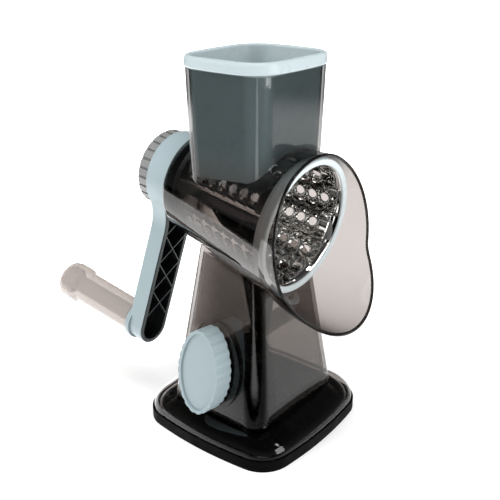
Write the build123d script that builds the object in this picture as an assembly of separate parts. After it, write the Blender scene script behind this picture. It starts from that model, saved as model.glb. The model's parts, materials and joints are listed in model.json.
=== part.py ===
from build123d import *
import math
import os

# Rotary cheese grater with a suction base. Millimetres, +Z up.
# The origin is the centre of the base's underside. The mouth faces -Y, the crank is at +Y
# and the suction knob is on the -X side.

# ---- driving dimensions -------------------------------------------------------------
axis_height = 171.04          # barrel axis above the table, at the origin
barrel_tilt = 8.05            # degrees, crank end higher than the mouth
crank_swing = 13.8            # degrees, how far the resting arm hangs towards -X
wall = 2.2                    # smoked body's wall

barrel_front_t = -46.0        # stations along the barrel axis, measured from above the origin
barrel_back_t = 57.0
barrel_front_r = 52.3
barrel_back_r = 37.6
barrel_back_round = 5.0
back_wall = 3.0
spout_mid_t = -68.0
spout_mid_r = 58.2
spout_end_t = -98.0
spout_end_r = 58.2

hopper_centre_y = -1.6
hopper_top_z = 268.3
hopper_foot_z = 180.0
hopper_top_half = (40.0, 35.1)
hopper_foot_half = (38.35, 33.45)
hopper_corner = 14.3
hopper_joint_round = 3.5

pusher_gap = 0.7
pusher_wall = 2.2
pusher_rim_half = (43.6, 38.8)
pusher_rim_corner = 22.5
pusher_rim_bow = 3.4
pusher_rim_z = 269.4
pusher_top_z = 277.2
pusher_rim_width = 5.4
pusher_mouth_z = 260.0        # where the cavity starts to widen towards the rim
pusher_floor_clear = -0.6     # pusher's hollowed foot, from the barrel's outer line

tower_foot_z = 21.0
tower_top_z = 150.0
tower_foot_half = (49.95, 43.55)
tower_top_half = (33.0, 26.9)
tower_foot_corner = 13.0
tower_top_corner = 11.0
tower_wall = 2.5
bridge_z = 73.5               # floor that the tongue stands on, across the tower
tongue_y = -6.0
tongue_foot_z = 75.0
tongue_foot_half = (7.0, 5.0)
tongue_top_half = (15.0, 11.0)
tongue_fit = 0.2

skirt_z = 8.5
base_half = 66.2              # half width at the middle of a side
base_bow = 5.9                # how far each side bows out
base_corner = 24.4
band_width = 6.0
band_inner_bow = 4.8
skirt_inset = 1.0

screw_places = [(x, y) for x in (-42, 42) for y in (-37, 37)]
base_screw_radius = 1.5
cup_floor = 0.6               # the suction sheet's underside above the table
sheet_half = 59.5
sheet_thickness = 2.2
suction_lift = 4.0            # travel of the stem over a quarter turn of the knob
stem_radius = 5.0
running_gap = 0.06

knob_height = 54.6            # where the knob's axis crosses the centre line
knob_tilt = 7.5
knob_face_w = 64.7            # distances out along the knob's axis
knob_back_w = 49.4
knob_half_width = 18.5
knob_half_height = 32.0
knob_edge = 2.6               # rim round the knob's sunk face
knob_flutes = 24
knob_shaft_radius = 5.0
knob_shaft_end_w = 57.0
bushing_radius = 7.0
pad_face_w = 47.6
cam_radius = 12.5
cam_start = 6.0               # groove radius with the suction released

arm_reach = 126.0
arm_half_width = 13.4
arm_front_t = 62.2
arm_back_t = 77.9
arm_wall = 2.0
arm_back_plate = 2.6
arm_neck_round = 35.0
tray_wall = 0.75
tray_depth = 11.0
spindle_radius = 4.0
tray_flange = 1.0
hub_radius = 31.4
hub_front_t = 57.9
hub_back_t = 77.9
lock_radius = 29.3
lock_back_t = 88.6
lock_notches = 26

ring_radius = 48.84
ring_inner = 44.2
ring_front_t = -46.3
ring_back_t = -36.5
drum_front_r = 44.9
drum_back_r = 33.4
drum_front_t = -44.5
drum_back_t = 47.0
drum_sheet = 0.8
hole_columns = 13             # columns round the drum, of which the first is the plain welded seam
seam_turn = 7.1               # degrees, seam above the -X side
holes_per_column = 7
hole_pitch = 10.0
hole_radius = 3.6
first_hole_t = -30.5          # odd columns start half a pitch further back

shaft_radius = 7.0
shaft_hex = 6.0               # half the distance across the flats
thread_radius = 5.0
bush_radius = 10.0
grip_bore = 7.1
grip_end_t = 163.3
cap_seat_t = 158.3
cap_radius = 11.5

# ---- frames -------------------------------------------------------------------------
tilt = math.radians(barrel_tilt)
# local x is +X, local y points down and away from the barrel's top, local z is the axis
barrel_frame = Plane(origin=(0, 0, axis_height), x_dir=(1, 0, 0),
                     z_dir=(0, math.cos(tilt), math.sin(tilt)))
lean = math.radians(knob_tilt)
# local x is -Y, local y is up, local z points out of the tower's side
knob_frame = Plane(origin=(0, 0, knob_height), x_dir=(0, -1, 0),
                   z_dir=(-math.cos(lean), 0, math.sin(lean)))


# ---- helpers ------------------------------------------------------------------------
def on_barrel(shape):
    """Moves a shape from barrel axis coordinates to the object's frame."""
    return barrel_frame.location * shape


def on_crank(shape):
    """As on_barrel, with local y along the resting crank arm."""
    return barrel_frame.location * Rot(0, 0, crank_swing) * shape


def on_knob(shape):
    """Moves a shape from the suction knob's axis to the object's frame."""
    return knob_frame.location * shape


def turned(points):
    """Solid of revolution about local z, from (radius, height) corners."""
    outline = Polyline(*[(r, 0, z) for r, z in points], close=True)
    return revolve(make_face(outline), Axis.Z)


def tube(outer, inner, low, high):
    """Plain tube along local z."""
    return turned([(inner, low), (outer, low), (outer, high), (inner, high)])


def rod(radius, low, high):
    """Plain round bar along local z."""
    return Pos(0, 0, low) * extrude(Circle(radius), high - low)


def hex_bar(half_flats, low, high):
    """Hexagonal bar along local z."""
    return Pos(0, 0, low) * extrude(RegularPolygon(half_flats, 6, major_radius=False), high - low)


def rounded_loft(low_z, low_half, low_corner, high_z, high_half, high_corner, centre_y=0.0):
    """Tapered block with rounded upright corners."""
    low = Pos(0, centre_y, low_z) * RectangleRounded(2 * low_half[0], 2 * low_half[1], low_corner)
    high = Pos(0, centre_y, high_z) * RectangleRounded(2 * high_half[0], 2 * high_half[1], high_corner)
    return loft([low, high])


def bowed_outline(half_x, half_y, bow, corner):
    """Rectangle with sides that bow out from its corners, which are then rounded, as a face."""
    x = half_x - bow
    y = half_y - bow
    sides = [ThreePointArc((x, -y), (half_x, 0), (x, y)),
             ThreePointArc((x, y), (0, half_y), (-x, y)),
             ThreePointArc((-x, y), (-half_x, 0), (-x, -y)),
             ThreePointArc((-x, -y), (0, -half_y), (x, -y))]
    outline = make_face(sides)
    return fillet(outline.vertices(), corner)


def barrel_radius(t):
    """Outside radius of the barrel's cone at station t."""
    share = (t - barrel_front_t) / (barrel_back_t - barrel_front_t)
    return barrel_front_r + (barrel_back_r - barrel_front_r) * share


def barrel_cone(offset, low_t, high_t):
    """Solid cone along the barrel, offset from the barrel's outside."""
    return turned([(0, low_t), (barrel_radius(low_t) + offset, low_t),
                   (barrel_radius(high_t) + offset, high_t), (0, high_t)])


# ---- smoked body --------------------------------------------------------------------
def barrel_solid(inset):
    """Barrel and flared spout as one turned solid, set in by a wall thickness."""
    back_t = barrel_back_t - (back_wall if inset else 0)
    back_r = barrel_radius(back_t) - inset
    curl = barrel_back_round - inset
    line_back = Line((0, 0, back_t), (back_r - curl, 0, back_t))
    corner = ThreePointArc((back_r - curl, 0, back_t),
                           (back_r - curl * 0.29 + 0.1, 0, back_t - curl * 0.29),
                           (barrel_radius(back_t - curl) - inset, 0, back_t - curl))
    cone = Line(corner @ 1, (barrel_front_r - inset, 0, barrel_front_t))
    flare = ThreePointArc(cone @ 1, (spout_mid_r - inset, 0, spout_mid_t),
                          (spout_end_r - inset, 0, spout_end_t))
    close_front = Line(flare @ 1, (0, 0, spout_end_t))
    axis_line = Line((0, 0, spout_end_t), (0, 0, back_t))
    return revolve(make_face([line_back, corner, cone, flare, close_front, axis_line]), Axis.Z)


def spout_trim():
    """Everything in front of the spout's rim, which is an S in side view."""
    brow = (-53.4, 206.0)
    waist = (-63.4, 137.6)
    toe = (-92.0, 94.5)
    line = FilletPolyline((-53.0, 240.0), brow, waist, toe, radius=18)
    face = make_face([line, Polyline(toe, (-130.0, 94.5), (-130.0, 240.0), (-53.0, 240.0))])
    upright = Plane(origin=(-80, 0, 0), x_dir=(0, 1, 0), z_dir=(1, 0, 0))
    return upright.location * extrude(face, 160)


def tongue_outline(z, half, corner, fit=0.0):
    """One level of the tongue, or of its socket where fit is the room round it."""
    return Pos(0, tongue_y, z) * RectangleRounded(2 * (half[0] + fit), 2 * (half[1] + fit), corner)


def locating_tongue():
    """Tapered tongue under the barrel that drops into the tower."""
    block = loft([tongue_outline(tongue_foot_z, tongue_foot_half, 3.5),
                  tongue_outline(132, tongue_top_half, 6)])
    pilot = Pos(0, tongue_y, tongue_foot_z) * Cylinder(1.6, 24)
    return block - on_barrel(barrel_cone(-0.5 * wall, -60, 55)) - pilot


def housing():
    """Hopper, barrel and flared spout in one moulding, with the locating tongue."""
    outside = on_barrel(barrel_solid(0))
    hopper = rounded_loft(hopper_foot_z, hopper_foot_half, hopper_corner, hopper_top_z,
                          hopper_top_half, hopper_corner, hopper_centre_y)
    body = outside + hopper
    inner_foot = (hopper_foot_half[0] - wall, hopper_foot_half[1] - wall)
    inner_top = (hopper_top_half[0] - wall, hopper_top_half[1] - wall)
    throat = rounded_loft(hopper_foot_z - 4, inner_foot, hopper_corner - wall, hopper_top_z + 1,
                          inner_top, hopper_corner - wall, hopper_centre_y)
    joint = [e for e in body.edges() if e.geom_type not in (GeomType.LINE, GeomType.CIRCLE)
             and 178 < e.center().Z < 235 and abs(e.center().Y) < 42]
    body = fillet(joint, hopper_joint_round)
    body = body - on_barrel(barrel_solid(wall)) - throat
    body = body + locating_tongue()
    body = body - spout_trim() - on_barrel(rod(bush_radius, 50, 60))
    return body


def section(z, share, inset, drop):
    """One level of the skirt: share 1 is the band's outline and 0 the tower's foot."""
    foot_x = tower_foot_half[0] - inset
    foot_y = tower_foot_half[1] - inset
    wide = base_half - skirt_inset - inset
    half_x = foot_x + (wide - foot_x) * share
    half_y = foot_y + (wide - foot_y) * share
    bow = 0.4 + (base_bow - 0.4) * share
    corner = tower_foot_corner + (base_corner - tower_foot_corner) * share - 0.4 * inset
    return Pos(0, 0, z - drop) * bowed_outline(half_x, half_y, bow, corner)


def skirt_solid(inset, drop, low_z):
    """Domed skirt that flares from the tower's foot to the band."""
    levels = 6
    rise = tower_foot_z + 1.5 - skirt_z
    sections = []
    for i in range(levels + 1):
        turn = math.pi / 2 * i / levels
        sections.append(section(skirt_z + rise * math.sin(turn), math.cos(turn), inset, drop))
    skirt = loft(sections)
    if low_z < skirt_z - drop:
        skirt = skirt + Pos(0, 0, low_z) * extrude(
            section(0, 1, inset, 0), skirt_z - drop - low_z + 0.01)
    return skirt


def tower_solid(inset, low_z, high_z):
    """Tapered tower, extended along its own taper."""

    def half(z):
        share = (z - tower_foot_z) / (tower_top_z - tower_foot_z)
        return tuple(a + (b - a) * share - inset for a, b in zip(tower_foot_half, tower_top_half))
    return rounded_loft(low_z, half(low_z), tower_foot_corner - 0.8 * inset,
                        high_z, half(high_z), tower_top_corner - 0.8 * inset)


def egg_outline(half_width, half_height, points=28):
    """Upright oval, a little narrower at the top."""
    ring = []
    for i in range(points):
        turn = 2 * math.pi * i / points
        height = math.sin(turn)
        narrowing = 1 - 0.09 * max(0.0, height)
        ring.append((half_width * math.cos(turn) * narrowing, half_height * height))
    return make_face(Spline(*ring, periodic=True))


def pedestal():
    """Tower and domed skirt in one shell, with the pad behind the knob and posts for the screws."""
    outside = skirt_solid(0, 0, skirt_z) + tower_solid(0, tower_foot_z - 4, tower_top_z)
    pad = on_knob(Pos(0, 0, 36) * extrude(egg_outline(24.5, 34.5), pad_face_w - 36))
    outside = outside + pad
    saddle = on_barrel(barrel_cone(0, -60, 57))
    deck = on_barrel(barrel_cone(tower_wall, -60, 57))
    inside = tower_solid(tower_wall, tower_foot_z - 6, tower_top_z) - deck
    skirt_inside = skirt_solid(tower_wall, tower_wall, skirt_z - 6)
    body = outside - saddle - inside - skirt_inside
    bridge = Pos(0, tongue_y, bridge_z) * Box(84, 18, 3) & tower_solid(0.5, tower_foot_z, tower_top_z)
    body = body + bridge
    for x, y in screw_places:
        post = Pos(x, y, 17.2) * extrude(Circle(4.0), 9)
        body = body + (post & tower_solid(-4, 12, 40))
        body = body - Pos(x, y, 12) * extrude(Circle(base_screw_radius), 11)
    socket = loft([tongue_outline(tongue_foot_z - 0.1, tongue_foot_half, 3.6, tongue_fit),
                   tongue_outline(132, tongue_top_half, 6.1, tongue_fit)])
    body = body - socket - Pos(0, tongue_y, bridge_z) * Cylinder(2.2, 8)
    body = body - on_knob(rod(bushing_radius, 30, 60))
    return body


# ---- base and suction parts ---------------------------------------------------------
def foot_band():
    """Band round the foot, which the skirt stands in."""
    outer = extrude(bowed_outline(base_half, base_half, base_bow, base_corner), skirt_z)
    half = base_half - band_width
    inner = extrude(bowed_outline(half, half, band_inner_bow, base_corner - band_width), skirt_z)
    return outer - inner


def base_plate():
    """Plate that closes the base, with a raised deck under the tower and four screw bosses."""
    half = base_half - band_width - 0.2
    low = Pos(0, 0, 5.0) * bowed_outline(half, half, band_inner_bow, base_corner - band_width)
    rim = extrude(low, 3.4)
    deck_low = Pos(0, 0, 8.0) * bowed_outline(56, 53, 2, 15)
    deck_high = Pos(0, 0, 17.0) * bowed_outline(48, 43, 1, 13)
    hollow_low = Pos(0, 0, 4.9) * bowed_outline(55, 52, 2, 14)
    hollow_high = Pos(0, 0, 14.5) * bowed_outline(45.5, 40.5, 1, 12)
    plate = rim + loft([deck_low, deck_high]) - loft([hollow_low, hollow_high])
    for x, y in screw_places:
        plate = plate + Pos(x, y, 8) * extrude(Circle(4.5), 9)
        plate = plate - Pos(x, y, 4) * extrude(Circle(base_screw_radius + 0.3), 14)
        plate = plate - Pos(x, y, 4) * extrude(Circle(3.6), 7)
    return plate - Pos(0, 0, 10) * Cylinder(16, 20)


def base_screws():
    """Four screws from below, through the plate into the tower's posts."""
    screws = []
    for x, y in screw_places:
        shank = Pos(x, y, 10.5) * extrude(Circle(base_screw_radius), 11)
        head = Pos(x, y, 8.4) * extrude(Circle(3.2), 2.4)
        recess = Pos(x, y, 8.4) * extrude(Rectangle(3.2, 0.8) + Rectangle(0.8, 3.2), 1.2)
        screws.append(shank + head - recess)
    return Compound(children=screws)


def suction_sheet():
    """Flexible sheet under the base, with the boss that the stem pulls up."""
    outline = bowed_outline(sheet_half, sheet_half, band_inner_bow, base_corner - band_width)
    sheet = Pos(0, 0, cup_floor) * extrude(outline, sheet_thickness)
    boss = turned([(0, cup_floor), (26, cup_floor), (14, 6.0), (12.5, 12.0), (0, 12.0)])
    return sheet + boss


def suction_stem():
    """Pull stem: flange over the sheet, round guide, and a blade beside the cam."""
    flange = rod(11.5, 12.0, 14.5)
    stem = rod(stem_radius, 14.5, 36.8)
    block = Pos(2.2, 0, 34.9) * Box(11, 12, 3.8)
    blade = Pos(6.2, 0, 48.8) * Box(3.0, 12, 31.6)
    pin_hole = on_knob(Pos(0, cam_start, 0) * rod(1.5, -12, 0))
    return flange + stem + block + blade - pin_hole


def stem_pin():
    """Pin from the stem's blade into the cam's groove."""
    return on_knob(Pos(0, cam_start, 0) * rod(1.5, -8.6, -0.6))


def stem_guide():
    """Guide cap over the deck: it holds the spring down and the stem upright."""
    flange = tube(24, 16.2, 17.0, 19.5)
    shell = tube(16.2, 12.7, 17.0, 32.5)
    roof = tube(13, stem_radius + running_gap, 30.0, 32.5)
    return flange + shell + roof


def suction_spring():
    """Coil that pushes the stem and the sheet back down."""
    coil = Helix(pitch=3.7, height=13.6, radius=8.6)
    wire = sweep(Plane(coil @ 0, z_dir=coil % 0) * Circle(0.65), path=coil)
    return Pos(0, 0, 15.4) * wire


def cam_groove():
    """Spiral groove: its radius grows evenly with the knob's turn."""
    growth = suction_lift * math.cos(lean) / 90
    half = 1.85

    def edge(offset):
        points = []
        for step in range(-3, 13):
            turn = step * 9
            radius = cam_start + growth * turn + offset
            angle = math.radians(90 - turn)
            points.append((radius * math.cos(angle), radius * math.sin(angle)))
        return Spline(*points)

    inner = edge(-half)
    outer = edge(half)
    face = make_face([inner, outer, Line(inner @ 0, outer @ 0), Line(inner @ 1, outer @ 1)])
    return Pos(0, 0, -2.6) * extrude(face, 3.2)


def cam():
    """Disc on the knob's shaft, with the spiral groove in its inner face."""
    disc = rod(cam_radius, -2.5, 2.5)
    return on_knob(disc - cam_groove())


def knob_shaft():
    """Shaft from the cam out to the knob, with a groove for its clip."""
    bar = rod(knob_shaft_radius, 2.5, knob_shaft_end_w)
    groove = tube(6, 4.0, 34.9, 36.1)
    return on_knob(bar - groove)


def shaft_clip():
    """Open ring in the shaft's groove."""
    ring = tube(7.2, 4.05, 35.0, 36.0)
    gap = Pos(0, -6, 35.5) * Box(5, 8, 2)
    return on_knob(ring - gap)


def knob_bushing():
    """Flanged bush in the tower's side."""
    bore = knob_shaft_radius + running_gap
    barrel = tube(bushing_radius, bore, 37.0, pad_face_w)
    return on_knob(barrel + tube(11.0, bore, pad_face_w, 48.8))


def suction_knob():
    """Oval knob with a sunk face and a fluted edge."""
    height = knob_face_w - knob_back_w
    body = extrude(egg_outline(knob_half_width, knob_half_height), height)
    face = egg_outline(knob_half_width - knob_edge, knob_half_height - knob_edge)
    body = body - Pos(0, 0, height - 1.5) * extrude(face, 2)
    # flutes, evenly spaced along the edge
    rim = egg_outline(knob_half_width, knob_half_height).wire()
    for i in range(knob_flutes):
        spot = rim @ (i / knob_flutes)
        out = Vector(spot.X, spot.Y * (knob_half_width / knob_half_height) ** 2, 0).normalized()
        centre = spot + out * 2.4
        body = body - Pos(centre.X, centre.Y, 0) * extrude(Circle(3.1), height)
    socket = extrude(Circle(knob_shaft_radius), knob_shaft_end_w - knob_back_w)
    return on_knob(Pos(0, 0, knob_back_w) * (body - socket))


# ---- drum ---------------------------------------------------------------------------
def drum_radius(t):
    """Outside radius of the drum's cone at station t."""
    share = (t - drum_front_t) / (drum_back_t - drum_front_t)
    return drum_front_r + (drum_back_r - drum_front_r) * share


def drum_skin():
    """The drum's sheet before it is punched."""
    return turned([(drum_radius(drum_front_t) - drum_sheet, drum_front_t),
                   (drum_radius(drum_front_t), drum_front_t),
                   (drum_radius(drum_back_t), drum_back_t),
                   (drum_radius(drum_back_t) - drum_sheet, drum_back_t)])


def drum_shell():
    """Perforated steel cone."""
    punch = Rot(0, 90, 0) * Pos(0, 0, 38) * Cylinder(hole_radius, 20)
    punches = []
    for column in range(1, hole_columns):
        turn = 180 + seam_turn + column * 360 / hole_columns
        start = first_hole_t + 0.5 * hole_pitch * (column % 2)
        for i in range(holes_per_column):
            punches.append(Pos(0, 0, start + i * hole_pitch) * Rot(0, 0, turn) * punch)
    return on_barrel(drum_skin() - punches)


def drum_ring():
    """Moulded ring that frames the drum's mouth."""
    lip = ring_inner + 0.7
    return on_crank(turned([(ring_inner, drum_front_t), (ring_inner, ring_front_t + 0.7),
                            (lip, ring_front_t + 0.1), (ring_radius - 0.6, ring_front_t),
                            (ring_radius, ring_front_t + 0.8), (ring_radius, -40.0),
                            (46.4, ring_back_t), (drum_radius(ring_back_t), ring_back_t),
                            (drum_radius(drum_front_t), drum_front_t)]))


def drum_hub():
    """Back of the drum: a spoked disc with the hexagonal drive socket."""
    rim = turned([(29.6, 44.0), (drum_radius(44.0) - drum_sheet, 44.0),
                  (drum_radius(49.0) + 0.6, 47.2), (drum_radius(49.0) + 0.6, 49.0), (29.6, 49.0)])
    rim = rim - drum_skin()
    disc = tube(30, 8.0, 46.0, 49.0)
    boss = rod(11.0, 30.0, 49.0)
    body = rim + disc + boss - hex_bar(shaft_hex + running_gap, 29, 50)
    for i in range(6):
        body = body - Rot(0, 0, 60 * i + 30) * Pos(20.5, 0, 47.5) * Cylinder(5.2, 5)
    return on_crank(body)


# ---- crank --------------------------------------------------------------------------
def rear_bush():
    """Flanged bush in the barrel's back wall."""
    return on_barrel(tube(bush_radius, shaft_radius + running_gap, 52.4, barrel_back_t)
                     + tube(13.0, shaft_radius + running_gap, 51.4, 54.0))


def thrust_washer():
    """Washer between the barrel's back wall and the crank's hub."""
    return on_barrel(tube(16.0, shaft_radius + 0.3, 57.1, 57.8))


def crank_shaft():
    """Drive shaft: hexagon into the drum, round in the bush, hexagon in the crank."""
    drum_end = hex_bar(shaft_hex, 31.0, 51.2)
    journal = rod(shaft_radius, 51.2, 57.8)
    crank_end = hex_bar(shaft_hex, 57.8, hub_back_t)
    thread = rod(thread_radius, hub_back_t, 84.0)
    return on_crank(drum_end + journal + crank_end + thread)


def arm_face(inset):
    """Hub, neck and arm in outline, in the crank's plane."""
    hub = Circle(hub_radius - inset)
    half = arm_half_width - inset
    bar = Pos(0, arm_reach / 2) * Rectangle(2 * half, arm_reach)
    outline = hub + bar + Pos(0, arm_reach) * Circle(half)
    neck = [v for v in outline.vertices() if 15 < v.Y < 40 and abs(abs(v.X) - half) < 0.5]
    return fillet(neck, arm_neck_round + inset)


def below(face, start):
    """The part of a crank outline that lies further than start from the hub's centre."""
    return face - Circle(start)


def crank_arm():
    """Hub, neck and arm as a shell open towards the barrel, with a collar under the grip."""
    shell = Pos(0, 0, arm_front_t + tray_flange) * extrude(
        arm_face(0), arm_back_t - arm_front_t - tray_flange)
    shell = shell + rod(hub_radius, hub_front_t, hub_back_t)
    shell = fillet(shell.faces().sort_by(Axis.Z)[-1].outer_wire().edges(), 1.2)
    pocket = Pos(0, 0, arm_front_t) * extrude(
        below(arm_face(arm_wall), hub_radius + 1.2), arm_back_t - arm_front_t - arm_back_plate)
    hub_hollow = tube(hub_radius - 2.8, 12.5, hub_front_t - 1, hub_back_t - 3.2)
    collar = Pos(0, arm_reach) * rod(15.2, arm_back_t - 2.4, 80.6)
    collar = fillet(collar.edges().filter_by(GeomType.CIRCLE).sort_by(Axis.Z)[-1], 2.0)
    body = shell - pocket + collar - hub_hollow - hex_bar(shaft_hex, 50, 80)
    return on_crank(body - Pos(0, arm_reach, 0) * rod(spindle_radius, 50, 90))


def crank_tray():
    """Dark lattice tray that closes the arm's open side."""
    flange = Pos(0, 0, arm_front_t) * extrude(below(arm_face(0), hub_radius + 0.2), tray_flange)
    body = Pos(0, 0, arm_front_t) * extrude(
        below(arm_face(arm_wall + 0.05), hub_radius + 1.4), tray_depth)
    cells = below(arm_face(arm_wall + 0.05 + tray_wall), hub_radius + 2.4)
    first_crossing = 35.7
    crossing_pitch = 22.9
    for i in range(4):
        for slope in (-45, 45):
            middle = first_crossing + i * crossing_pitch
            cells = cells - Pos(0, middle) * Rot(0, 0, slope) * Rectangle(0.9, 46)
    pockets = Pos(0, 0, arm_front_t - 0.01) * extrude(cells, tray_depth - 1.5)
    return on_crank(flange + body - pockets)


def lock_nut():
    """Notched nut on the back that holds the crank to its shaft."""
    body = rod(lock_radius, hub_back_t + 0.2, lock_back_t)
    body = chamfer(body.edges().filter_by(GeomType.CIRCLE), 0.8)
    dish = Pos(0, 0, lock_back_t - 2.5) * extrude(Circle(lock_radius - 4.5), 3)
    grab = Pos(0, 0, lock_back_t - 1.5) * Box(2 * lock_radius - 12, 9, 5)
    body = body - dish + grab
    for i in range(lock_notches):
        notch = Rot(0, 0, 360 / lock_notches * i) * Pos(lock_radius, 0, 82) * Box(2.4, 1.9, 16)
        body = body - notch
    return on_crank(body - rod(thread_radius + running_gap, 70, 84.2))


def grip_spindle():
    """Spindle fixed in the arm's end, that the grip turns on."""
    flange = rod(6.0, 73.4, 75.3)
    neck = rod(spindle_radius, 75.3, 81.0)
    bar = rod(grip_bore - running_gap, 81.0, 150.0)
    body = flange + neck + bar - rod(1.5, 138.0, 151.0)
    return on_crank(Pos(0, arm_reach, 0) * body)


def grip_sleeve():
    """Sleeve with a swollen end, free to turn on the spindle."""
    outline = [(grip_bore, 81.2), (12.4, 81.2), (13.0, 82.4), (13.1, 100.0), (13.4, 141.0),
               (14.1, 143.2), (15.3, 145.8), (15.9, 149.5), (15.9, 157.8), (15.2, 160.9),
               (13.4, 162.9), (cap_radius, grip_end_t), (cap_radius, cap_seat_t),
               (grip_bore, cap_seat_t)]
    return on_crank(Pos(0, arm_reach, 0) * turned(outline))


def grip_washer():
    """Washer that keeps the sleeve on its spindle."""
    return on_crank(Pos(0, arm_reach, 0) * (rod(6.6, 150.1, 151.2) - rod(1.55, 150, 152)))


def grip_screw():
    """Screw into the spindle's end, over the washer."""
    shank = rod(1.5, 139.0, 151.2)
    head = rod(3.4, 151.2, 153.6)
    slot = Pos(0, 0, 152.4) * extrude(Rectangle(3.4, 0.8) + Rectangle(0.8, 3.4), 1.4)
    return on_crank(Pos(0, arm_reach, 0) * (shank + head - slot))


def grip_end_cap():
    """Plug pressed into the sleeve's end."""
    outline = [(0, cap_seat_t), (cap_radius, cap_seat_t), (cap_radius, grip_end_t - 0.6),
               (cap_radius - 0.6, grip_end_t), (0, grip_end_t + 0.4)]
    return on_crank(Pos(0, arm_reach, 0) * turned(outline))


# ---- pusher -------------------------------------------------------------------------
def pusher():
    """Cup that slides in the hopper, with a thick rolled rim and a hollowed foot."""
    gap = wall + pusher_gap
    foot = (hopper_foot_half[0] - gap, hopper_foot_half[1] - gap)
    top = (hopper_top_half[0] - gap, hopper_top_half[1] - gap)
    plug = rounded_loft(hopper_foot_z, foot, hopper_corner - gap, pusher_rim_z + 1, top,
                        hopper_corner - gap, hopper_centre_y)
    rim = Pos(0, hopper_centre_y, pusher_rim_z) * extrude(
        bowed_outline(pusher_rim_half[0], pusher_rim_half[1], pusher_rim_bow, pusher_rim_corner),
        pusher_top_z - pusher_rim_z)
    rim = fillet(rim.faces().sort_by(Axis.Z)[-1].edges(), 2.6)
    rim = fillet(rim.faces().sort_by(Axis.Z)[0].edges(), 1.4)
    inner_foot = tuple(f - pusher_wall for f in foot)
    inner_top = tuple(t - pusher_wall for t in top)
    inner_corner = hopper_corner - gap - pusher_wall
    cavity = rounded_loft(hopper_foot_z, inner_foot, inner_corner, pusher_mouth_z + 0.01, inner_top,
                          inner_corner, hopper_centre_y)
    mouth_half = tuple(h - pusher_rim_width for h in pusher_rim_half)
    mouth = rounded_loft(pusher_mouth_z, inner_top, inner_corner, pusher_top_z + 0.01, mouth_half,
                         pusher_rim_corner - pusher_rim_width, hopper_centre_y)
    heel = on_barrel(barrel_cone(pusher_floor_clear, -70, 70))
    heel_floor = on_barrel(barrel_cone(pusher_floor_clear + pusher_wall, -70, 70))
    body = plug + rim - mouth - heel
    body = body - (cavity - heel_floor)
    return fillet(body.faces().sort_by(Axis.Z)[-1].inner_wires()[0].edges(), 1.8)


def tongue_screw():
    """Screw from below, through the tower's bridge into the tongue."""
    shank = Pos(0, tongue_y, 72.0) * extrude(Circle(1.6), 14)
    head = Pos(0, tongue_y, 69.4) * extrude(Circle(3.4), 2.6)
    recess = Pos(0, tongue_y, 69.4) * extrude(Rectangle(3.4, 0.8) + Rectangle(0.8, 3.4), 1.2)
    return shank + head - recess


# ---- write --------------------------------------------------------------------------
makers = [housing, pedestal, foot_band, base_plate, base_screws, suction_sheet, suction_stem, stem_pin,
          stem_guide, suction_spring, cam, knob_shaft, shaft_clip, knob_bushing, suction_knob,
          drum_shell, drum_ring, drum_hub, rear_bush, thrust_washer, crank_shaft, crank_arm,
          crank_tray, lock_nut, grip_spindle, grip_sleeve, grip_washer, grip_screw, grip_end_cap,
          pusher, tongue_screw]

os.makedirs("parts", exist_ok=True)
for make in makers:
    export_step(make(), "parts/" + make.__name__ + ".step")
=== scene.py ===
import json
import math

import bmesh
import bpy
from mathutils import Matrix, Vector


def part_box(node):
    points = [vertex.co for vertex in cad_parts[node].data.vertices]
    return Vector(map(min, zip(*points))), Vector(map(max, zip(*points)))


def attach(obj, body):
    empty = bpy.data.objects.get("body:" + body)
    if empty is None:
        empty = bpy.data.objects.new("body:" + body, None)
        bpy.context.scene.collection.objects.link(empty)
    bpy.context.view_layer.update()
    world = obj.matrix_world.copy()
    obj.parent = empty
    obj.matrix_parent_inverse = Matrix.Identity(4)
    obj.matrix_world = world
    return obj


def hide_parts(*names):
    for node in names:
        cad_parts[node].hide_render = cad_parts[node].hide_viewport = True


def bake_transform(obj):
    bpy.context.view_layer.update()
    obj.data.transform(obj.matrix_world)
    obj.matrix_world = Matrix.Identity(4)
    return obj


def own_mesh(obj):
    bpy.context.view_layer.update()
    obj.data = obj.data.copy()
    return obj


# Rotary cheese grater on a suction base, in metres, +Z up. The mouth faces -Y, the crank
# is at +Y and the suction knob is on the -X side.

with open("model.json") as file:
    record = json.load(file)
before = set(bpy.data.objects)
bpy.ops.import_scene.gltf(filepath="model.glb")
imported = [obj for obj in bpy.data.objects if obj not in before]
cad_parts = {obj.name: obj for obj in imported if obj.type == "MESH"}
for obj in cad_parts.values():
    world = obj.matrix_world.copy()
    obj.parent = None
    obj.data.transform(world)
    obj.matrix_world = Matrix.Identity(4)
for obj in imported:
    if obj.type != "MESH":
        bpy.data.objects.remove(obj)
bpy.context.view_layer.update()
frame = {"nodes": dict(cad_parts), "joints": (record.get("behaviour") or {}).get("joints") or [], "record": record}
nodes = frame["nodes"]
joints = {j["name"]: j for j in frame["joints"]}

MM = 0.001
AXIS = Vector(joints["crank_spin"]["axis"]).normalized()
AXIS_POINT = Vector(joints["crank_spin"]["pos_m"])
UP = Vector((0, -AXIS.z, AXIS.y))
SIDE = Vector((-1, 0, 0))

CAMERA_AZIMUTH = -51.13       # degrees; 0 looks along +Y
CAMERA_ELEVATION = 22.63
CAMERA_DISTANCE = 0.5566
CAMERA_TARGET = Vector((0.00374, 0.00689, 0.13308))


# ---- places along the barrel --------------------------------------------------------
def on_axis(t, radius=0.0, turn=0.0):
    """Point at station t along the barrel axis, turn radians up from the -X side."""
    return AXIS_POINT + AXIS * t + (SIDE * math.cos(turn) + UP * math.sin(turn)) * radius


def direction(azimuth, elevation):
    """Unit vector from the object towards a place at this azimuth and elevation, in degrees."""
    around, above = math.radians(azimuth), math.radians(elevation)
    return Vector((math.sin(around) * math.cos(above), -math.cos(around) * math.cos(above),
                   math.sin(above)))


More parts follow.
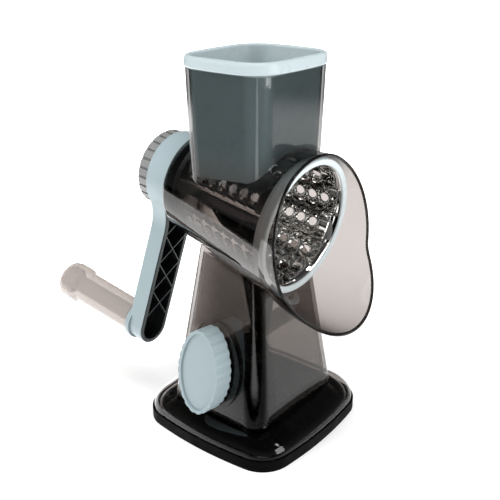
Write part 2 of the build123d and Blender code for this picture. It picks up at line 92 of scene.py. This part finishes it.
# ---- node helpers -------------------------------------------------------------------
class Tree:
    """A material's or the world's node tree, with short ways to add and join nodes."""

    def __init__(self, owner):
        owner.use_nodes = True
        self.tree = owner.node_tree
        self.tree.nodes.clear()

    def add(self, kind, **values):
        node = self.tree.nodes.new("ShaderNode" + kind)
        for name, value in values.items():
            setattr(node, name, value)
        return node

    def join(self, source, target):
        self.tree.links.new(source, target)

    def math(self, operation, a, b=0.5, clamp=False):
        node = self.add("Math", operation=operation, use_clamp=clamp)
        for socket, value in zip(node.inputs, (a, b)):
            self.put(socket, value)
        return node.outputs[0]

    def put(self, socket, value):
        if isinstance(value, bpy.types.NodeSocket):
            self.join(value, socket)
        else:
            socket.default_value = value

    def mix_colour(self, share, low, high):
        node = self.add("Mix", data_type="RGBA")
        self.put(node.inputs["Factor"], share)
        self.put(node.inputs[6], low)
        self.put(node.inputs[7], high)
        return node.outputs[2]

    def span(self, value, low, high, to_low=0.0, to_high=1.0):
        node = self.add("MapRange", interpolation_type="SMOOTHSTEP")
        self.put(node.inputs["Value"], value)
        ends = {"From Min": low, "From Max": high, "To Min": to_low, "To Max": to_high}
        for name, number in ends.items():
            node.inputs[name].default_value = number
        return node.outputs[0]

    def place(self):
        return self.add("TexCoord").outputs["Object"]

    def along(self, way):
        """How far the surface's point lies along a direction."""
        node = self.add("VectorMath", operation="DOT_PRODUCT")
        self.join(self.place(), node.inputs[0])
        node.inputs[1].default_value = way
        return node.outputs["Value"]

    def noise(self, scale, detail=3.0, roughness=0.5, place=None):
        node = self.add("TexNoise")
        self.join(place or self.place(), node.inputs["Vector"])
        node.inputs["Scale"].default_value = scale
        node.inputs["Detail"].default_value = detail
        node.inputs["Roughness"].default_value = roughness
        return node.outputs["Fac"]

    def bump(self, height, strength, distance):
        node = self.add("Bump")
        node.inputs["Strength"].default_value = strength
        node.inputs["Distance"].default_value = distance
        self.join(height, node.inputs["Height"])
        return node.outputs[0]


def colour(red, green, blue):
    return (red, green, blue, 1.0)


MOTTLE = 0.015                # how far a moulded colour wanders either way
GRAIN_DEPTH = 0.00002
SLANT_LATENESS = 3.0          # power that keeps smoked plastic clear until it is seen at a slant
EDGE_POWER = 5.0              # faces' worth of plastic that an edge-on ray crosses


def opaque(name, base, roughness, grain=900.0, specular=0.5):
    """Moulded plastic: slight mottling, a fine moulded grain and uneven polish."""
    material = bpy.data.materials.new(name)
    tree = Tree(material)
    shader = tree.add("BsdfPrincipled")
    output = tree.add("OutputMaterial")
    tree.join(shader.outputs[0], output.inputs[0])
    darker = tuple(c * (1 - MOTTLE) for c in base[:3]) + (1.0,)
    lighter = tuple(min(1.0, c * (1 + MOTTLE)) for c in base[:3]) + (1.0,)
    tree.join(tree.mix_colour(tree.noise(60.0, 4.0), darker, lighter), shader.inputs["Base Color"])
    polish = tree.span(tree.noise(140.0, 5.0, 0.65), 0.3, 0.7, roughness * 0.85, roughness * 1.2)
    tree.join(polish, shader.inputs["Roughness"])
    tree.join(tree.bump(tree.noise(grain, 2.0), 0.5, GRAIN_DEPTH), shader.inputs["Normal"])
    shader.inputs["Specular IOR Level"].default_value = specular
    return material


def smoked(name, tint, roughness=0.03, zones=(), slant_power=None, milk=None, milk_share=0.0):
    """Clear smoked plastic, seen straight through, with its own gloss.
    tint is what one face lets through head on; a slanting ray crosses more plastic.
    zones are (tint, share function) pairs, for stretches of another thickness.
    slant_power(tree) says how late a slanting face darkens, SLANT_LATENESS where it isn't given.
    milk is the colour of a cloudy filler, which covers milk_share of what lies behind."""
    material = bpy.data.materials.new(name)
    tree = Tree(material)
    output = tree.add("OutputMaterial")
    see = tree.add("BsdfTransparent")
    cloud = tree.noise(25.0, 2.0)
    base = tree.mix_colour(cloud, tint, tuple(c * 0.965 for c in tint[:3]) + (1.0,))
    for zone_tint, share in zones:
        base = tree.mix_colour(share(tree), base, zone_tint)
    slant = tree.add("LayerWeight")
    slant.inputs["Blend"].default_value = 0.5
    edge = tuple(c ** EDGE_POWER for c in tint[:3]) + (1.0,)
    late = slant_power(tree) if slant_power else SLANT_LATENESS
    deepened = tree.mix_colour(tree.math("POWER", slant.outputs["Facing"], late), base, edge)
    tree.join(deepened, see.inputs["Color"])
    body = see.outputs[0]
    if milk:
        cloudy = tree.add("BsdfDiffuse")
        cloudy.inputs["Color"].default_value = milk
        clouded = tree.add("MixShader")
        clouded.inputs[0].default_value = milk_share
        tree.join(body, clouded.inputs[1])
        tree.join(cloudy.outputs[0], clouded.inputs[2])
        body = clouded.outputs[0]
    shine = tree.add("BsdfGlossy")
    shine.inputs["Color"].default_value = colour(1.0, 1.0, 1.0)
    tree.join(tree.span(tree.noise(90.0, 4.0), 0.3, 0.7, roughness * 0.7, roughness * 1.4),
              shine.inputs["Roughness"])
    wave = tree.bump(tree.noise(45.0, 1.0), 0.25, 0.0002)
    tree.join(wave, shine.inputs["Normal"])
    facing = tree.add("LayerWeight")
    facing.inputs["Blend"].default_value = 0.5
    grazing = tree.math("POWER", facing.outputs["Facing"], 5.0)
    mirrored = tree.math("ADD", tree.math("MULTIPLY", grazing, 0.96), 0.04, clamp=True)
    mix = tree.add("MixShader")
    tree.join(mirrored, mix.inputs[0])
    tree.join(body, mix.inputs[1])
    tree.join(shine.outputs[0], mix.inputs[2])
    tree.join(mix.outputs[0], output.inputs[0])
    return material


def steel(name, base, roughness, line_scale, line_depth=0.00003):
    """Polished steel with faint turning lines round the barrel axis."""
    material = bpy.data.materials.new(name)
    tree = Tree(material)
    shader = tree.add("BsdfPrincipled")
    output = tree.add("OutputMaterial")
    tree.join(shader.outputs[0], output.inputs[0])
    shader.inputs["Metallic"].default_value = 1.0
    along = tree.add("VectorMath", operation="DOT_PRODUCT")
    tree.join(tree.place(), along.inputs[0])
    along.inputs[1].default_value = AXIS
    lines = tree.add("TexNoise", noise_dimensions="1D")
    tree.join(along.outputs["Value"], lines.inputs["W"])
    lines.inputs["Scale"].default_value = line_scale
    lines.inputs["Detail"].default_value = 4.0
    tone = tree.mix_colour(lines.outputs["Fac"], tuple(c * 0.86 for c in base[:3]) + (1.0,), base)
    tree.join(tone, shader.inputs["Base Color"])
    smear = tree.span(tree.noise(70.0, 4.0), 0.3, 0.75, roughness * 0.7, roughness * 1.5)
    tree.join(smear, shader.inputs["Roughness"])
    tree.join(tree.bump(lines.outputs["Fac"], 0.12, line_depth), shader.inputs["Normal"])
    return material


HOPPER_START = (0.185, 0.225)  # heights between which the barrel's plastic turns into the hopper's


def hopper_share(tree):
    """0 at the barrel and 1 up in the hopper."""
    return tree.span(tree.along((0, 0, 1)), *HOPPER_START)


def hopper_slant(tree):
    """The hopper's walls darken sooner as they turn away than the barrel's do."""
    return tree.span(tree.along((0, 0, 1)), *HOPPER_START, SLANT_LATENESS, 0.5 * SLANT_LATENESS)


def barrel_back_share(tree):
    """1 at the barrel's thick back end and 0 from its middle forwards."""
    station = tree.math("SUBTRACT", tree.along(AXIS), AXIS_POINT.dot(AXIS))
    return tree.span(station, 0.022, 0.044)


def tower_core_share(tree):
    """1 on the tower's inner half of the knob side, where its ribs double the plastic."""
    side = tree.span(tree.along((1, 0, 0)), -0.028, -0.024, 1.0, 0.0)
    front = tree.span(tree.along((0, 1, 0)), -0.002, 0.024, 1.0, 0.0)
    return tree.math("MULTIPLY", side, front)


def make_materials():
    """Every finish by name. A name that isn't a slot of the record is given to a node by FINISH_OF_NODE or by the
    function that uses it.
    """
    return {
        "smoked_body": smoked("smoked_body", colour(0.624, 0.598, 0.586),
                              slant_power=hopper_slant,
                              zones=[(colour(0.30, 0.29, 0.285), barrel_back_share),
                                     (colour(0.70, 0.72, 0.72), hopper_share)]),
        "smoked_base": smoked("smoked_base", colour(0.61, 0.585, 0.57),
                              zones=[(colour(0.40, 0.39, 0.38), tower_core_share)]),
        "smoked_deep": smoked("smoked_deep", colour(0.22, 0.21, 0.2)),
        "black_rubber": opaque("black_rubber", colour(0.003, 0.003, 0.003), 0.6, 1400.0, specular=0.03),
        "black_plastic": opaque("black_plastic", colour(0.012, 0.013, 0.014), 0.28, specular=0.35),
        "dark_acetal": opaque("dark_acetal", colour(0.02, 0.02, 0.021), 0.35),
        "screw_steel": steel("screw_steel", colour(0.55, 0.54, 0.53), 0.25, 2500.0),
        "drum_steel": steel("drum_steel", colour(0.88, 0.87, 0.85), 0.035, 1800.0,
                            line_depth=0.000003),
        "blue_plastic": opaque("blue_plastic", colour(0.315, 0.39, 0.415), 0.34, specular=0.4),
        # Painted light: the drum's ring is the blue plastic, made lighter for the front lamp's light falling on it
        # through the mouth.
        "ring_blue_painted_light": opaque("ring_blue_painted_light", colour(0.56, 0.62, 0.635), 0.3, specular=0.4),
        "hub_plastic": opaque("hub_plastic", colour(0.55, 0.56, 0.56), 0.35),
        "grey_plastic": opaque("grey_plastic", colour(0.22, 0.225, 0.222), 0.40),
        "grip_core": opaque("grip_core", colour(0.52, 0.47, 0.45), 0.40),
        "grip_smoke": smoked("grip_smoke", colour(0.84, 0.79, 0.76), 0.16, milk=colour(0.50, 0.455, 0.43),
                             milk_share=0.55),
        # Painted light: the pusher is the same blue plastic, made lighter to make up for the light that the smoked
        # hopper holds back from it.
        "pusher_blue": opaque("pusher_blue", colour(0.43, 0.505, 0.525), 0.30, specular=0.4),
        # Painted highlight: the lattice ribs are black like the pockets, and this lighter grey stands for their
        # edges catching the light.
        "tray_rib_highlight": opaque("tray_rib_highlight", colour(0.14, 0.155, 0.16), 0.35),
    }


def new_piece(name, bm, slot, body):
    """Smooth piece made from a bmesh, which it frees. With no body it rides on none."""
    mesh = bpy.data.meshes.new(name)
    bm.normal_update()
    bm.to_mesh(mesh)
    bm.free()
    piece = bpy.data.objects.new(name, mesh)
    bpy.context.scene.collection.objects.link(piece)
    for polygon in mesh.polygons:
        polygon.use_smooth = True
    mesh.materials.append(finishes[slot])
    if body:
        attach(piece, body)
    return piece


COLUMNS = 13                  # columns round the drum, of which the first is the plain welded seam
SEAM_TURN = math.radians(7.1)
HOLES_PER_COLUMN = 7
HOLE_PITCH = 10.0
FIRST_HOLE_T = -30.5          # odd columns start half a pitch further back
HOLE_RADIUS = 3.55
CRATER_RADIUS = 4.85
CRATER_RISE = 1.15
SHEET = 0.8
DRUM_FRONT = (-44.5, 44.9)
DRUM_BACK = (47.0, 33.4)
CELL_SEGMENTS = 8


def drum_radius(t):
    share = (t - DRUM_FRONT[0]) / (DRUM_BACK[0] - DRUM_FRONT[0])
    return DRUM_FRONT[1] + (DRUM_BACK[1] - DRUM_FRONT[1]) * share


def drum_point(t, turn, lift=0.0):
    return on_axis(t * MM, (drum_radius(t) + lift) * MM, turn)


def cell_border(t_low, t_high, turn_low, turn_high):
    """Points round a cell of the drum's sheet, evenly spaced on each side, in (t, turn)."""
    n = CELL_SEGMENTS
    sides = [((t_low, turn_low), (t_high, turn_low)), ((t_high, turn_low), (t_high, turn_high)),
             ((t_high, turn_high), (t_low, turn_high)), ((t_low, turn_high), (t_low, turn_low))]
    return [(a[0] + (b[0] - a[0]) * i / n, a[1] + (b[1] - a[1]) * i / n)
            for a, b in sides for i in range(n)]


def punched_cell(bm, t_mid, turn_mid, t_half, turn_half):
    """One cell with a hole punched outwards, its lip standing proud."""
    border = cell_border(t_mid - t_half, t_mid + t_half, turn_mid - turn_half, turn_mid + turn_half)
    radius_here = drum_radius(t_mid)
    rings = [[drum_point(t, turn) for t, turn in border]]
    profile = [(CRATER_RADIUS, 0.0)]
    for share, rise in ((0.25, 0.08), (0.5, 0.32), (0.75, 0.7), (0.93, 0.93), (1.0, 1.0)):
        profile.append((CRATER_RADIUS + (HOLE_RADIUS - CRATER_RADIUS) * share, CRATER_RISE * rise))
    for ring_radius, lift in profile:
        ring = []
        for t, turn in border:
            across = math.atan2((turn - turn_mid) * radius_here, t - t_mid)
            ring.append(drum_point(t_mid + ring_radius * math.cos(across),
                                   turn_mid + ring_radius * math.sin(across) / radius_here, lift))
        rings.append(ring)
    grid = [[bm.verts.new(p) for p in ring] for ring in rings]
    count = len(border)
    for inner, outer in zip(grid[1:], grid[:-1]):
        for i in range(count):
            bm.faces.new((outer[i], outer[(i + 1) % count], inner[(i + 1) % count], inner[i]))


def plain_band(bm, t_low, t_high, turn_low, turn_high, steps):
    """Plain stretch of the drum's sheet."""
    rows = []
    for t in (t_low, (t_low + t_high) / 2, t_high):
        rows.append([bm.verts.new(drum_point(t, turn_low + (turn_high - turn_low) * i / steps))
                     for i in range(steps + 1)])
    for low, high in zip(rows[:-1], rows[1:]):
        for i in range(steps):
            bm.faces.new((low[i], high[i], high[i + 1], low[i + 1]))


def make_drum():
    """Perforated steel cone: every hole is punched outwards."""
    bm = bmesh.new()
    step = 2 * math.pi / COLUMNS
    for column in range(COLUMNS):
        middle = SEAM_TURN + column * step
        low_turn, high_turn = middle - step / 2, middle + step / 2
        if column == 0:
            plain_band(bm, DRUM_FRONT[0], DRUM_BACK[0], low_turn, high_turn, CELL_SEGMENTS)
            continue
        start = FIRST_HOLE_T + (0.5 * (column % 2) - 0.5) * HOLE_PITCH
        for i in range(HOLES_PER_COLUMN):
            punched_cell(bm, start + (i + 0.5) * HOLE_PITCH, middle, HOLE_PITCH / 2, step / 2)
        plain_band(bm, DRUM_FRONT[0], start, low_turn, high_turn, CELL_SEGMENTS)
        end = start + HOLES_PER_COLUMN * HOLE_PITCH
        plain_band(bm, end, DRUM_BACK[0], low_turn, high_turn, CELL_SEGMENTS)
    bmesh.ops.remove_doubles(bm, verts=bm.verts, dist=0.00002)
    bmesh.ops.recalc_face_normals(bm, faces=bm.faces)
    piece = new_piece("perforated_drum", bm, "drum_steel", "drum")
    outward = sum((p.center - on_axis((p.center - AXIS_POINT).dot(AXIS))).dot(p.normal)
                  for p in piece.data.polygons)
    thick = piece.modifiers.new("sheet", "SOLIDIFY")
    thick.thickness = SHEET * MM
    thick.offset = -1.0 if outward > 0 else 1.0
    apply_modifiers(piece)
    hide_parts("drum_shell")
    return piece


def loops_of(edges):
    """Closed chains of points from a set of edges."""
    left = set(edges)
    chains = []
    while left:
        edge = left.pop()
        chain = [edge.verts[0], edge.verts[1]]
        growing = True
        while growing:
            growing = False
            for link in chain[-1].link_edges:
                if link in left:
                    left.discard(link)
                    chain.append(link.other_vert(chain[-1]))
                    growing = True
                    break
        chains.append([v.co.copy() for v in chain])
    return chains


def around_axis(point):
    """Turn of a point round the barrel axis, up from the -X side."""
    spoke = point - AXIS_POINT
    spoke = spoke - AXIS * spoke.dot(AXIS)
    return math.atan2(spoke.dot(UP), spoke.dot(SIDE))


RIM_BEAD = 1.1 * MM


def nearest_on_axis(point):
    return on_axis((point - AXIS_POINT).dot(AXIS))


def make_spout_rim():
    """Rounded bead along the spout's cut edge, following the moulding's own edge."""
    bm = bmesh.new()
    bm.from_mesh(nodes["housing"].data)
    bmesh.ops.remove_doubles(bm, verts=bm.verts, dist=0.00001)
    sharp = [e for e in bm.edges if len(e.link_faces) == 2 and e.calc_face_angle() > 0.7
             and (e.verts[0].co.y + e.verts[1].co.y) / 2 < -0.045]
    chains = [c for c in loops_of(sharp) if len(c) > 30]
    samples = 180
    tracks = [[(around_axis(p), p) for p in chain] for chain in chains]
    line = []
    for i in range(samples):
        turn = -math.pi + 2 * math.pi * i / samples
        picks = [min(track, key=lambda item: abs((item[0] - turn + math.pi) % (2 * math.pi) - math.pi))[1]
                 for track in tracks]
        line.append(sum(picks, Vector()) / len(picks))
    bm.free()
    for _ in range(3):
        line = [(line[i - 1] + line[i] * 2 + line[(i + 1) % samples]) / 4 for i in range(samples)]
    return tube_piece("spout_rim_bead", line, RIM_BEAD, "smoked_deep", "root", nearest_on_axis)


def tube_piece(name, line, radius, slot, body, centre_of, closed=True, sides=12):
    """Round tube along a line of points. centre_of(point) lies on the inner side of the bend there."""
    bm = bmesh.new()
    rings = []
    count = len(line)
    for i, point in enumerate(line):
        before = line[i - 1] if closed else line[max(i - 1, 0)]
        after = line[(i + 1) % count] if closed else line[min(i + 1, count - 1)]
        along = (after - before).normalized()
        spoke = point - centre_of(point)
        out = (spoke - along * spoke.dot(along)).normalized()
        beside = along.cross(out)
        rings.append([bm.verts.new(point + (out * math.cos(a) + beside * math.sin(a)) * radius)
                      for a in (2 * math.pi * k / sides for k in range(sides))])
    for i in range(count if closed else count - 1):
        here, there = rings[i], rings[(i + 1) % count]
        for k in range(sides):
            bm.faces.new((here[k], here[(k + 1) % sides], there[(k + 1) % sides], there[k]))
    if not closed:
        bm.faces.new(rings[0][::-1])
        bm.faces.new(rings[-1])
    bmesh.ops.recalc_face_normals(bm, faces=bm.faces)
    return new_piece(name, bm, slot, body)


def apply_modifiers(piece):
    """Gives a piece the mesh that its modifiers make."""
    shown = piece.evaluated_get(bpy.context.evaluated_depsgraph_get())
    mesh = bpy.data.meshes.new_from_object(shown)
    piece.modifiers.clear()
    old = piece.data
    piece.data = mesh
    bpy.data.meshes.remove(old)


# ---- stage --------------------------------------------------------------------------
BACKDROP = 2.0                # brightness of the lit backdrop, which shows through the smoked plastic
CORNER_WAY = math.radians(-50)  # azimuth of a line out past the object's near corner
PAPER_EDGE_WAY = (1.0, 0.43, 0)
PAPER_EDGE = -0.17            # the lit paper ends where x + 0.43 y is this
AWAY = -direction(CAMERA_AZIMUTH, 0)


def make_floor():
    """Pale paper under the object. Gloss, and anything seen far off, meets its own brightness."""
    bpy.ops.mesh.primitive_plane_add(size=12)
    floor = bpy.context.object
    floor.name = "floor"
    material = bpy.data.materials.new("floor_paper")
    tree = Tree(material)
    output = tree.add("OutputMaterial")
    path = tree.add("LightPath")
    diffuse = tree.add("BsdfDiffuse")
    diffuse.inputs["Color"].default_value = colour(0.86, 0.86, 0.86)
    lift = tree.add("Emission")
    lift.inputs["Strength"].default_value = 0.30
    lit = tree.add("AddShader")
    tree.join(diffuse.outputs[0], lit.inputs[0])
    tree.join(lift.outputs[0], lit.inputs[1])
    # what gloss shows of the floor: the lit paper as far as its edge, dimmer towards the camera,
    # to the right and far off, and a strip before the object's corner
    reach = tree.add("VectorMath", operation="LENGTH")
    tree.join(tree.place(), reach.inputs[0])
    glow = tree.add("Emission")
    beside = tree.along((math.cos(CORNER_WAY), math.sin(CORNER_WAY), 0))
    ahead = tree.along((math.sin(CORNER_WAY), -math.cos(CORNER_WAY), 0))
    paper = tree.span(tree.along(PAPER_EDGE_WAY), PAPER_EDGE - 0.01, PAPER_EDGE + 0.01,
                      0.03, 1.3 * BACKDROP)
    near = tree.math("MULTIPLY", paper, tree.span(ahead, 0.02, 0.12, 1.0, 0.12))
    near = tree.math("MULTIPLY", near, tree.span(beside, 0.0, 0.1, 1.0, 0.5))
    near = tree.math("MULTIPLY", near, tree.span(reach.outputs["Value"], 0.95, 1.25, 1.0, 0.02))
    width = tree.span(tree.math("ABSOLUTE", beside), 0.04, 0.12, 1.0, 0.0)
    strip = tree.math("MULTIPLY", width, tree.span(ahead, 0.2, 0.3, 0.0, 1.6))
    tree.join(tree.math("ADD", near, strip), glow.inputs["Strength"])
    # the paper sweeps up into an evenly lit backdrop, which the far floor stands for
    backdrop = tree.add("Emission")
    backdrop.inputs["Strength"].default_value = BACKDROP
    sweep = tree.add("MixShader")
    tree.join(tree.span(reach.outputs["Value"], 0.10, 0.34), sweep.inputs[0])
    tree.join(lit.outputs[0], sweep.inputs[1])
    tree.join(backdrop.outputs[0], sweep.inputs[2])
    mix = tree.add("MixShader")
    tree.join(path.outputs["Is Glossy Ray"], mix.inputs[0])
    tree.join(sweep.outputs[0], mix.inputs[1])
    tree.join(glow.outputs[0], mix.inputs[2])
    tree.join(mix.outputs[0], output.inputs[0])
    floor.data.materials.append(material)


def make_world():
    world = bpy.data.worlds.new("studio")
    bpy.context.scene.world = world
    tree = Tree(world)
    output = tree.add("OutputWorld")
    path = tree.add("LightPath")
    fill = tree.add("Background")
    fill.inputs["Strength"].default_value = 0.55
    backdrop = tree.add("Background")
    backdrop.inputs["Strength"].default_value = BACKDROP
    mix = tree.add("MixShader")
    tree.join(path.outputs["Is Camera Ray"], mix.inputs[0])
    tree.join(fill.outputs[0], mix.inputs[1])
    tree.join(backdrop.outputs[0], mix.inputs[2])
    tree.join(mix.outputs[0], output.inputs[0])
    world.cycles_visibility.glossy = False


LIT_POINT = Vector((0, 0, 0.13))


def soft_box(name, azimuth, elevation, distance, size, power, glossy=True):
    """Area light that faces the object's middle and isn't seen itself."""
    data = bpy.data.lights.new(name, "AREA")
    data.shape = "RECTANGLE"
    data.size, data.size_y = size
    data.energy = power
    light = bpy.data.objects.new(name, data)
    bpy.context.scene.collection.objects.link(light)
    back = direction(azimuth, elevation)
    light.location = LIT_POINT + back * distance
    light.rotation_euler = back.to_track_quat("Z", "Y").to_euler()
    light.visible_glossy = glossy
    light.visible_camera = False


def make_lights():
    soft_box("left", -125, 30, 1.2, (0.5, 0.8), 5, glossy=False)
    soft_box("front", 8, 10, 1.0, (0.5, 0.55), 4)
    soft_box("right_window", 18, 42, 1.4, (0.16, 0.34), 1.2)
    soft_box("overhead", -50, 85, 1.4, (1.0, 1.0), 17, glossy=False)


def make_dome():
    """Dome that only gloss shows: the lit backdrop behind the object, the dark studio elsewhere."""
    bpy.ops.mesh.primitive_uv_sphere_add(radius=4.0, segments=48, ring_count=24)
    dome = bpy.context.object
    dome.name = "studio_dome"
    material = bpy.data.materials.new("studio_dark")
    tree = Tree(material)
    output = tree.add("OutputMaterial")
    glow = tree.add("Emission")
    dark = tree.span(tree.along((0, 0, 1)), 0.0, 3.0, 0.16, 0.04)
    behind = tree.span(tree.along(AWAY), 1.6, 2.6, 0.0, 0.35)
    low = tree.span(tree.along((0, 0, 1)), 0.3, 0.8, 1.0, 0.0)
    tree.join(tree.math("ADD", dark, tree.math("MULTIPLY", behind, low)), glow.inputs["Strength"])
    tree.join(glow.outputs[0], output.inputs[0])
    material.cycles.emission_sampling = "NONE"
    dome.data.materials.append(material)
    for ray in ("camera", "diffuse", "transmission", "volume_scatter", "shadow"):
        setattr(dome, "visible_" + ray, False)


def make_camera():
    data = bpy.data.cameras.new("camera")
    camera = bpy.data.objects.new("camera", data)
    bpy.context.scene.collection.objects.link(camera)
    data.sensor_width = 36.0
    data.lens = 54.2
    data.clip_start = 0.01
    back = direction(CAMERA_AZIMUTH, CAMERA_ELEVATION)
    camera.location = CAMERA_TARGET + back * CAMERA_DISTANCE
    camera.rotation_euler = back.to_track_quat("Z", "Y").to_euler()
    bpy.context.scene.camera = camera


def render_look():
    scene = bpy.context.scene
    scene.view_settings.view_transform = "Standard"
    scene.cycles.use_denoising = True
    scene.cycles.max_bounces = 16
    scene.cycles.transparent_max_bounces = 48
    scene.cycles.glossy_bounces = 3


FINISH_OF_NODE = {"drum_ring": "ring_blue_painted_light"}  # nodes whose finish is a lighter copy of their slot's: painted light on the drum's ring


def dress_cad_nodes():
    """Gives each CAD node its finish."""
    for part in frame["record"]["subparts"]:
        node = nodes[part["node"]]
        node.data.materials.clear()
        finish = FINISH_OF_NODE.get(part["node"], part["material_slot"])
        node.data.materials.append(finishes[finish])
    darken_tongue()
    paint_rib_highlights()


RIB_DEPTH = 2.0 * MM


def paint_rib_highlights():
    """Painted highlight: the black lattice ribs' front faces get a lighter grey, for their edges catching the
    light.
    """
    mesh = nodes["crank_tray"].data
    mesh.materials.append(finishes["tray_rib_highlight"])
    front = min((v.co - AXIS_POINT).dot(AXIS) for v in mesh.vertices)
    for polygon in mesh.polygons:
        station = (polygon.center - AXIS_POINT).dot(AXIS)
        if polygon.normal.dot(AXIS) < -0.9 and station < front + RIB_DEPTH:
            polygon.material_index = 1


def make_suction_sheet():
    """Rubber sheet under the base, whose rim stays down while the stem draws its middle up; here a fixed copy of
    the CAD sheet, on no body.
    """
    bm = bmesh.new()
    bm.from_mesh(nodes["suction_sheet"].data)
    piece = new_piece("suction_pad", bm, "black_rubber", None)
    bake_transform(piece)
    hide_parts("suction_sheet")


SPRING_WIRE = 0.65 * MM
SPRING_TURNS = 3.7
SPRING_STEPS = 36             # points to a turn


def make_suction_spring():
    """Coil between the stem's flange and its guide, which the stem presses together."""
    low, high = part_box("suction_spring")
    radius = high[0] - SPRING_WIRE
    height = high[2] - low[2]
    last = round(SPRING_TURNS * SPRING_STEPS)
    line = []
    for i in range(last + 1):
        turn = 2 * math.pi * i / SPRING_STEPS
        rise = SPRING_WIRE + (height - 2 * SPRING_WIRE) * i / (SPRING_TURNS * SPRING_STEPS)
        line.append(Vector((radius * math.cos(turn), radius * math.sin(turn), low[2] + rise)))
    piece = tube_piece("return_spring", line, SPRING_WIRE, "screw_steel", "root",
                       lambda point: Vector((0, 0, point.z)), closed=False, sides=10)
    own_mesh(piece)
    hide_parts("suction_spring")


TONGUE_TOP = 0.1335
TONGUE_HALF = (0.017, 0.013)
TONGUE_Y = -0.006


def darken_tongue():
    """The tongue under the barrel is solid, so it looks darker than the thin walls."""
    mesh = nodes["housing"].data
    mesh.materials.append(finishes["smoked_deep"])
    for polygon in mesh.polygons:
        x, y, z = polygon.center
        if z < TONGUE_TOP and abs(x) < TONGUE_HALF[0] and abs(y - TONGUE_Y) < TONGUE_HALF[1]:
            polygon.material_index = 1


finishes = make_materials()
make_camera()
make_world()
make_floor()
make_dome()
make_lights()
render_look()
dress_cad_nodes()
make_drum()
make_spout_rim()
make_suction_sheet()
make_suction_spring()
